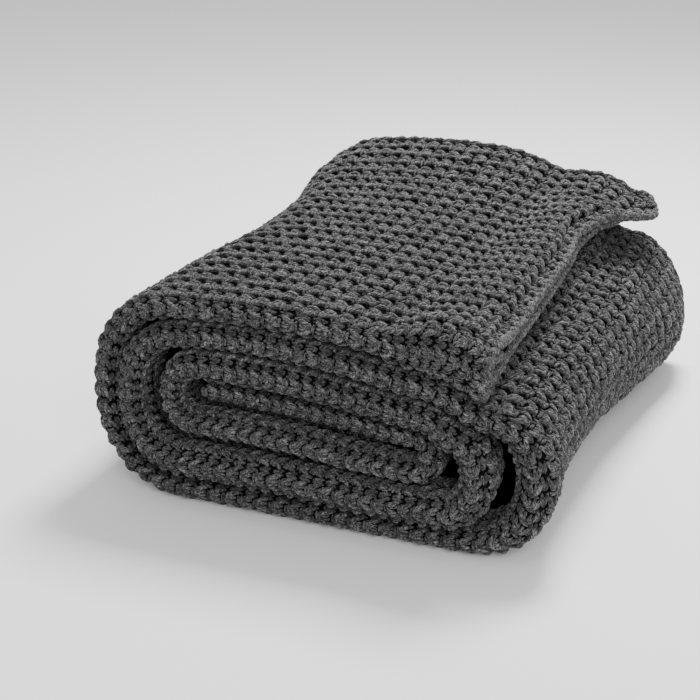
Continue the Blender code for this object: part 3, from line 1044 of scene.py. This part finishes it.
@dataclass
class GroundSheet:
    """The one thin cloth under all the stitches, folded in four and wound up."""

    form: RollForm
    name: str = "throw_cloth"
    outer_layer: float = LEAF_MIDDLE + 0.2 * MM  # of the outside cloth's middle from the pack's middle
    inner_layer: float = LEAF_MIDDLE - 2.5 * MM  # of the inside cloth's
    run_step: float = 13 * MM
    turn_step: float = np.radians(14)

    def stations(self) -> np.ndarray:
        """Lengths along the spiral to build at: close together where it bends."""
        spiral = self.form.spiral
        heading = np.unwrap(np.arctan2(spiral.table[:, 5], spiral.table[:, 4]))
        bend = np.append(0, np.cumsum(np.abs(np.diff(heading))))
        pace = bend / self.turn_step + spiral.arc / self.run_step
        return np.interp(np.linspace(0, pace[-1], int(pace[-1]) + 1), pace, spiral.arc)

    def section(self, path: PathPoint) -> tuple[np.ndarray, np.ndarray]:
        """Draws the cloth's middle line across the pack.

        From the outside cloth's hem it goes round the front fold, round the back fold and round the front
        again inside, to the inside cloth's hem.

        Args:
            path: the spiral at each station.

        Returns:
            Depths and offsets, each with a row per station.
        """
        puff, forward = path.puff[:, None], path.forward[:, None]
        front = -forward + LEAF_THICK / 2 + LEAF_MIDDLE + puff
        share = np.append(np.linspace(1.0, 0.1, 15), (0.05, 0.02))[None, :]
        depth = front + share * (BACK_START - front)
        open_up = puff * np.exp(-(((depth - front) / PUFF_DEEP) ** 2))
        bends = np.radians(np.linspace(90, -90, 11))[None, 1:-1]
        turn_back = np.radians(np.linspace(0, 180, 7))[None, 1:-1]
        gap = (self.outer_layer - self.inner_layer) / 2
        far = (self.outer_layer + self.inner_layer) / 2
        wide, narrow = self.outer_layer + puff, self.inner_layer + INNER_SHARE * puff
        depths, offsets = [], []
        for side, reach, level in (
            (1, wide, self.outer_layer + open_up),
            (-1, narrow, self.inner_layer + INNER_SHARE * open_up),
        ):
            depths.append(np.concatenate([depth, front - reach * np.cos(bends), depth[:, ::-1]], 1))
            offsets.append(side * np.concatenate([level, reach * np.sin(bends), -level[:, ::-1]], 1))
        ones = np.ones_like(puff)
        depths.insert(1, ones * (BACK_START + gap * np.sin(turn_back)))
        offsets.insert(1, ones * -(far + gap * np.cos(turn_back)))
        return np.concatenate(depths, 1), np.concatenate(offsets, 1)

    def build(self) -> bpy.types.Object:
        """Makes the closed sheet."""
        s = self.stations()
        depth, offset = self.section(self.form.spiral.at(s))
        run = np.stack([np.gradient(depth, axis=1), np.gradient(offset, axis=1)], -1)
        run /= np.linalg.norm(run, axis=2)[..., None]
        out_depth, out_offset = -run[..., 1], run[..., 0]
        faces = []
        for side in (0.5, -0.5):
            away = side * LAYER_THICK
            station = np.repeat(s[:, None], depth.shape[1], 1)
            faces.append(self.form.point(station, depth + out_depth * away, offset + out_offset * away))
        rows, columns = depth.shape
        points = np.concatenate([face.reshape(-1, 3) for face in faces])
        top = np.arange(rows * columns).reshape(rows, columns)
        low = top + rows * columns

        def patch(one: np.ndarray, other: np.ndarray) -> np.ndarray:
            """Quads between two equal rows of vertices."""
            return np.stack([one[:-1], one[1:], other[1:], other[:-1]], -1).reshape(-1, 4)

        quads = [patch(top[i], top[i + 1]) for i in range(rows - 1)]
        quads += [patch(low[i + 1], low[i]) for i in range(rows - 1)]
        quads += [patch(low[0], top[0]), patch(top[-1], low[-1])]
        quads += [patch(top[:, 0], low[:, 0]), patch(low[:, -1], top[:, -1])]
        return make_piece(self.name, points, np.concatenate(quads))


class Stretch(Enum):
    """The stretches of the roll that stitches are grouped by, each one piece."""

    CORE_FOLD = "core_fold_stitches"
    OUTER_FOLD = "outer_fold_stitches"
    RIGHT_SIDE = "right_side_stitches"
    UNDERSIDE = "underside_stitches"
    LEFT_SIDE = "left_side_stitches"
    FLAP = "flap_stitches"
    BACK_EDGES = "back_edge_stitches"
    END_HEMS = "end_hem_stitches"


@dataclass
class StarKnit:
    """The star stitches: columns of stars along the cloth with a chain between each two columns."""

    form: RollForm
    seed: int = 11
    fold_columns: int = 1  # how many columns each side of the front fold always has
    open_columns: int = 2  # and how many where a gap lets more be seen
    open_gap: float = 1.5 * MM
    peek: float = 30 * MM  # how far under the flap its stitches go on
    flap_length: float = 0.35  # of the last stretch of cloth, on top of the roll
    level: float = 0.8  # share of a stretch's run that goes sideways where it counts as lying
    low_height: float = 30 * MM  # beneath which a lying stretch is the underside
    crowding: float = 0.5  # how much stitches close up round a bend
    sharpest: float = 60.0  # bend that counts for it, in radians for each metre
    back_fold_crest: float = 5.3 * MM  # round the back fold to the middle of its stitches
    inner_hem_depth: float = 11 * MM  # of the inner cloth's end in the fuller fold at the flap's corner
    inner_hem_reach: float = 46 * MM  # how far from the fold's crest that end is seen
    inner_hem_radius: float = 3 * MM
    batches: dict[Stretch, StrandBatch] = field(init=False)

    def __post_init__(self) -> None:
        """Prepares the stitch grid."""
        self.wrap = WrapFace(self.form)
        self.chance = np.random.default_rng(self.seed)
        self.batches = {stretch: StrandBatch(stretch.value) for stretch in Stretch}
        spiral = self.form.spiral
        shares = [gauge.share for gauge in GAUGES]
        pitches = [gauge.pitch * MM for gauge in GAUGES]
        pitch = np.interp(spiral.arc / spiral.length, shares, pitches)
        tangent = spiral.table[:, 4:6]
        heading = np.unwrap(np.arctan2(tangent[:, 1], tangent[:, 0]))
        bend = -np.gradient(heading, spiral.arc)
        pitch = pitch / (1 + self.crowding * np.clip(bend, 0, self.sharpest) * PACK_THICK / 2)
        cells = np.append(0, np.cumsum(np.diff(spiral.arc) / (pitch[1:] + pitch[:-1]) * 2))
        whole = int(cells[-1])
        centres = cells[-1] - whole + np.arange(whole) + 0.5
        self.middles = np.interp(centres, cells, spiral.arc)
        self.pitches = np.interp(self.middles, spiral.arc, pitch)
        self.outside = np.interp(self.middles, spiral.arc, spiral.room(True))
        self.inside = np.interp(self.middles, spiral.arc, spiral.room(False))

    def exposed_from(self) -> float:
        """The length along the spiral from which the outer face shows over its whole breadth."""
        covered = self.middles[self.outside < 0.5]
        return float(covered.max()) - self.peek

    def stretch_of(self, s: np.ndarray, folds: bool) -> np.ndarray:
        """Groups stitches.

        Args:
            s: their places along the spiral.
            folds: whether they are on the front fold.

        Returns:
            The stretch of each.
        """
        spiral = self.form.spiral
        if folds:
            return np.where(s < 0.5 * spiral.length, Stretch.CORE_FOLD, Stretch.OUTER_FOLD)
        path = spiral.at(s)
        flat = np.abs(path.tangent[:, 0]) > self.level
        on_right = path.place[:, 0] > 0
        low = path.place[:, 1] < self.low_height
        sides = np.where(on_right, Stretch.RIGHT_SIDE, Stretch.LEFT_SIDE)
        lying = np.where(low, Stretch.UNDERSIDE, Stretch.FLAP)
        early = s < spiral.length - self.flap_length
        lying = np.where(early & ~low, Stretch.RIGHT_SIDE, lying)
        return np.where(flat, lying, sides)

    def knit(self, shown: np.ndarray, column: float, strands: tuple[Strand, ...], folds: bool) -> None:
        """Works one column of stitches.

        Args:
            shown: which stitches of the column are made.
            column: the column's number, with a half for a chain.
            strands: the stitch.
            folds: whether the column is on the front fold.
        """
        s, pitch = self.middles[shown], self.pitches[shown]
        if not len(s):
            return
        v = np.full(len(s), column * COLUMN * MM)
        group = self.stretch_of(s, folds)
        for stretch in Stretch:
            mine = group == stretch
            if mine.any():
                plain = strands[:2] if stretch is Stretch.UNDERSIDE else strands
                for strand in plain:
                    self.batches[stretch].lay(self.wrap, strand, s[mine], v[mine], pitch[mine], self.chance)

    def work_faces(self) -> None:
        """Works every column of stars and chains that shows."""
        last = int(self.wrap.half_breadth / (COLUMN * MM) + 0.2)
        exposed = self.middles > self.exposed_from()
        under_flap = self.middles > self.form.spiral.length - self.peek
        for half in range(-2 * last - 1, 2 * last + 2):
            column = half / 2
            gap = self.outside if column > 0 else self.inside
            everywhere = exposed if column > 0 else under_flap
            folds = abs(column) <= self.open_columns + 0.5
            if abs(column) <= self.fold_columns + 0.5:
                shown = np.ones(len(self.middles), bool)
            elif folds:
                shown = everywhere | (gap > self.open_gap)
            else:
                shown = everywhere
            self.knit(shown, column, CHAIN if half % 2 else STAR, folds)

    def work_back_edges(self) -> None:
        """Works the hems and the folded edge at the back."""
        batch = self.batches[Stretch.BACK_EDGES]
        s, pitch = self.middles, self.pitches
        breadth = self.wrap.half_breadth
        inner_hem = InnerHemFace(self.form)
        for strand in EDGE_ROPE:
            batch.lay(self.wrap, strand, s, np.full(len(s), breadth), pitch, self.chance)
            batch.lay(inner_hem, strand, s, np.zeros(len(s)), pitch, self.chance)
        for strand in ARMS:
            crest = np.full(len(s), -breadth - self.back_fold_crest)
            batch.lay(self.wrap, strand, s, crest, pitch, self.chance)

    def work_end_hems(self) -> None:
        """Works the hems of the cloth's end on top of the roll."""
        batch = self.batches[Stretch.END_HEMS]
        outer = EndFace(self.wrap)
        inner = EndFace(self.wrap, depth=self.inner_hem_depth, hem_radius=self.inner_hem_radius)
        for face, breadth in ((outer, self.wrap.half_breadth), (inner, self.inner_hem_reach)):
            links = 2 * int(breadth / (COLUMN * MM / 2))
            pitch = 2 * breadth / links
            v = -breadth + (np.arange(links) + 0.5) * pitch
            pitches = np.full(links, pitch)
            for row, around in enumerate(END_HEM_ROWS):
                v_row = v + (row % 2) * pitch / 2
                for strand in EDGE_ROPE:
                    batch.lay(face, strand, v_row, np.full(links, around * MM), pitches, self.chance)

    def build(self, finish: bpy.types.Material) -> list[bpy.types.Object]:
        """Works all the stitches.

        Args:
            finish: the yarn's material.

        Returns:
            The pieces, one for each stretch.
        """
        self.work_faces()
        self.work_back_edges()
        self.work_end_hems()
        pieces = []
        for stretch, batch in self.batches.items():
            piece = batch.build(self.chance)
            piece.data.materials.append(finish)
            pieces.append(piece)
            LOG.info("%s: %d triangles", stretch.value, batch.triangles)
        LOG.info("all stitches: %d triangles", sum(batch.triangles for batch in self.batches.values()))
        return pieces


@dataclass
class Throw:
    """The whole throw: its ground sheet and its stitches."""

    node: str = "throw"
    body: str = "root"

    def build(self) -> None:
        """Builds the pieces and ties them to the frame."""
        form = RollForm(Spiral())
        low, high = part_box(self.node)
        form.sit_in(np.array(low), np.array(high))
        LOG.info("cloth wound up: %.3f m long", form.spiral.length)
        sheet = GroundSheet(form).build()
        sheet.data.materials.append(GROUND.build())
        LOG.info("%s: %d faces", sheet.name, len(sheet.data.polygons))
        stitches = StarKnit(form).build(YARN.build())
        for piece in (sheet, *stitches):
            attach(piece, self.body)
        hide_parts(self.node)


# ---- the studio -----------------------------------------------------------------------------------------
@dataclass(frozen=True)
class FloorFinish:
    """Plain pale matt paint."""

    name: str = "pale_floor_paint"
    tone: float = 0.92

    def build(self) -> bpy.types.Material:
        """Builds the material."""
        material = bpy.data.materials.new(self.name)
        material.use_nodes = True
        shader = material.node_tree.nodes["Principled BSDF"]
        shader.inputs["Base Color"].default_value = (self.tone, self.tone, self.tone, 1)
        shader.inputs["Roughness"].default_value = 0.9
        return material


@dataclass(frozen=True)
class SoftLight:
    """A large square lamp that faces the roll."""

    name: str
    place: tuple[float, float, float]
    size: float
    watts: float
    aim: tuple[float, float, float] = (0.0, 0.0, 0.07)

    def build(self) -> None:
        """Hangs the lamp."""
        lamp = bpy.data.lights.new(self.name, "AREA")
        lamp.size = self.size
        lamp.energy = self.watts
        holder = bpy.data.objects.new(self.name, lamp)
        holder.location = self.place
        way = Vector(self.aim) - Vector(self.place)
        holder.rotation_euler = way.to_track_quat("-Z", "Y").to_euler()
        bpy.context.scene.collection.objects.link(holder)


@dataclass
class Studio:
    """The floor, the lamps, the sky and the camera."""

    camera_place: tuple[float, float, float] = (0.40086, -0.99473, 0.45984)
    azimuth_deg: float = 24.0
    pitch_deg: float = 21.0
    lens: float = 95.14
    sensor_width: float = 36.0
    sky: float = 0.75
    floor_size: float = 12.0
    floor_drop: float = 0.3 * MM
    lamps: tuple[SoftLight, ...] = (
        SoftLight("key_softbox", (0.04, 0.42, 0.9), 0.35, 19.0),
        SoftLight("front_softbox", (0.9, -1.5, 1.0), 0.9, 22.0),
    )

    def build(self) -> None:
        """Sets the studio up."""
        bpy.ops.mesh.primitive_plane_add(size=self.floor_size, location=(0, 0, -self.floor_drop))
        floor = bpy.context.object
        floor.name = "studio_floor"
        floor.data.materials.append(FloorFinish().build())
        floor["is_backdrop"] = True
        world = bpy.data.worlds.new("studio_sky")
        world.use_nodes = True
        backdrop = world.node_tree.nodes["Background"]
        backdrop.inputs["Color"].default_value = (1, 1, 1, 1)
        backdrop.inputs["Strength"].default_value = self.sky
        bpy.context.scene.world = world
        for lamp in self.lamps:
            lamp.build()
        lens = bpy.data.cameras.new("studio_camera")
        lens.lens = self.lens
        lens.sensor_width = self.sensor_width
        camera = bpy.data.objects.new("studio_camera", lens)
        camera.location = self.camera_place
        camera.rotation_euler = Euler(np.radians((90 - self.pitch_deg, 0, self.azimuth_deg)))
        bpy.context.scene.collection.objects.link(camera)
        bpy.context.scene.camera = camera


def corners(box: tuple) -> list[list[float]]:
    """A box's two corners as plain lists."""
    return [[float(x) for x in corner] for corner in box]


def main() -> None:
    """Builds the throw and the studio round it, and measures both boxes."""
    logging.basicConfig(level=logging.INFO, format="%(name)s: %(message)s")
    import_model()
    cad_box = corners(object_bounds())
    Throw().build()
    Studio().build()
    {"cad": cad_box, "visual": corners(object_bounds())}


if __name__ == "__main__":
    main()
